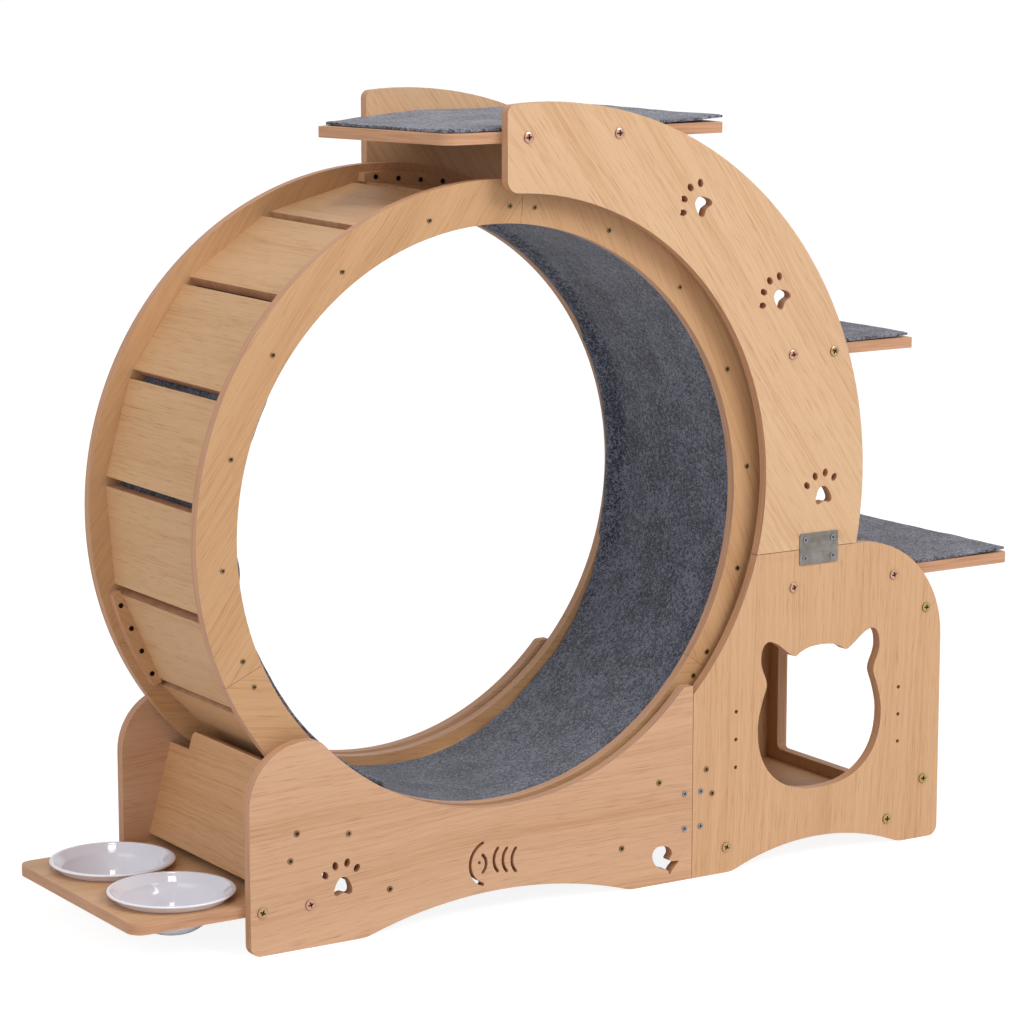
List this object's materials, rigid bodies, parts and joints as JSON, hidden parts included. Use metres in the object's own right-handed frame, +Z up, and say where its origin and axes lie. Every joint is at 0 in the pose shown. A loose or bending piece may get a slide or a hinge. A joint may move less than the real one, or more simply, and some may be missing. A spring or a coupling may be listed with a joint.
{
  "type": "cat exercise wheel",
  "caption": "Upright wooden cat running wheel with a carpeted track on a stand with felt platforms, a cat house with a cat-face door and a shelf of food bowls.",
  "frame": {"origin": "on the floor, at the middle of the whole outline", "axes": "+X to the house side, +Y away from the viewer, +Z up; the wheel turns about Y"},
  "size_m": [1.434, 0.3876, 1.09],
  "materials": {
    "oak_board": "light oak faced board, satin, with browner cut edges",
    "grey_felt": "heathered dark grey needle felt",
    "steel_plate": "plain grey steel sheet",
    "zinc_screws": "bright zinc",
    "brass_screws": "yellow zinc or brass",
    "copper_bolts": "polished copper-coloured domed heads",
    "dark_screws": "black oxide",
    "white_nylon": "matt nylon",
    "white_glaze": "glossy white glaze"
  },
  "bodies": {
    "stand": {"roller_sleeves": "zinc_screws", "front_base_panel": "oak_board", "rear_base_panel": "oak_board", "front_house_panel": "oak_board", "rear_house_panel": "oak_board", "front_arc_panel": "oak_board", "rear_arc_panel": "oak_board", "splice_plates": "steel_plate", "plate_screws": "zinc_screws", "joint_blocks": "oak_board", "top_platform": "oak_board", "middle_platform": "oak_board", "low_platform": "oak_board", "top_mat": "grey_felt", "middle_mat": "grey_felt", "low_mat": "grey_felt", "house_floor": "oak_board", "end_board": "oak_board", "left_guard_board": "oak_board", "right_guard_board": "oak_board", "left_roller_board": "oak_board", "right_roller_board": "oak_board", "bowl_shelf": "oak_board", "panel_bolts": "copper_bolts", "panel_screws": "brass_screws", "axle_screws": "brass_screws"},
    "wheel": {"front_ring_a": "oak_board", "front_ring_b": "oak_board", "front_ring_c": "oak_board", "rear_ring_a": "oak_board", "rear_ring_b": "oak_board", "rear_ring_c": "oak_board", "slat_01": "oak_board", "slat_02": "oak_board", "slat_03": "oak_board", "slat_04": "oak_board", "slat_05": "oak_board", "slat_06": "oak_board", "slat_07": "oak_board", "slat_08": "oak_board", "slat_09": "oak_board", "slat_10": "oak_board", "slat_11": "oak_board", "slat_12": "oak_board", "slat_13": "oak_board", "slat_14": "oak_board", "slat_15": "oak_board", "slat_16": "oak_board", "slat_17": "oak_board", "slat_18": "oak_board", "ring_splice_plates": "oak_board", "slat_screws": "brass_screws", "splice_screws": "dark_screws", "wheel_carpet": "grey_felt"},
    "front_left_roller": {"front_left_roller": "white_nylon"},
    "front_right_roller": {"front_right_roller": "white_nylon"},
    "rear_left_roller": {"rear_left_roller": "white_nylon"},
    "rear_right_roller": {"rear_right_roller": "white_nylon"},
    "front_bowl": {"front_bowl": "white_glaze"},
    "rear_bowl": {"rear_bowl": "white_glaze"}
  },
  "joints": [
    {"name": "wheel_spin", "type": "hinge", "parent": "stand", "child": "wheel", "pos_m": [-0.162, 0, 0.54], "axis": [0, 1, 0], "continuous": true},
    {"name": "front_left_roller_spin", "type": "hinge", "parent": "stand", "child": "front_left_roller", "pos_m": [-0.40926, -0.154, 0.14583], "axis": [0, 1, 0], "continuous": true},
    {"name": "front_right_roller_spin", "type": "hinge", "parent": "stand", "child": "front_right_roller", "pos_m": [0.08526, -0.154, 0.14583], "axis": [0, 1, 0], "continuous": true},
    {"name": "rear_left_roller_spin", "type": "hinge", "parent": "stand", "child": "rear_left_roller", "pos_m": [-0.40926, 0.154, 0.14583], "axis": [0, 1, 0], "continuous": true},
    {"name": "rear_right_roller_spin", "type": "hinge", "parent": "stand", "child": "rear_right_roller", "pos_m": [0.08526, 0.154, 0.14583], "axis": [0, 1, 0], "continuous": true},
    {"name": "front_bowl_lift", "type": "slide", "parent": "stand", "child": "front_bowl", "axis": [0, 0, 1], "range_m": [0, 0.08]},
    {"name": "rear_bowl_lift", "type": "slide", "parent": "stand", "child": "rear_bowl", "axis": [0, 0, 1], "range_m": [0, 0.08]}
  ],
  "couplings": [
    {"joint": "front_left_roller_spin", "follows": "wheel_spin", "ratio": -30},
    {"joint": "front_right_roller_spin", "follows": "wheel_spin", "ratio": -30},
    {"joint": "rear_left_roller_spin", "follows": "wheel_spin", "ratio": -30},
    {"joint": "rear_right_roller_spin", "follows": "wheel_spin", "ratio": -30}
  ]
}
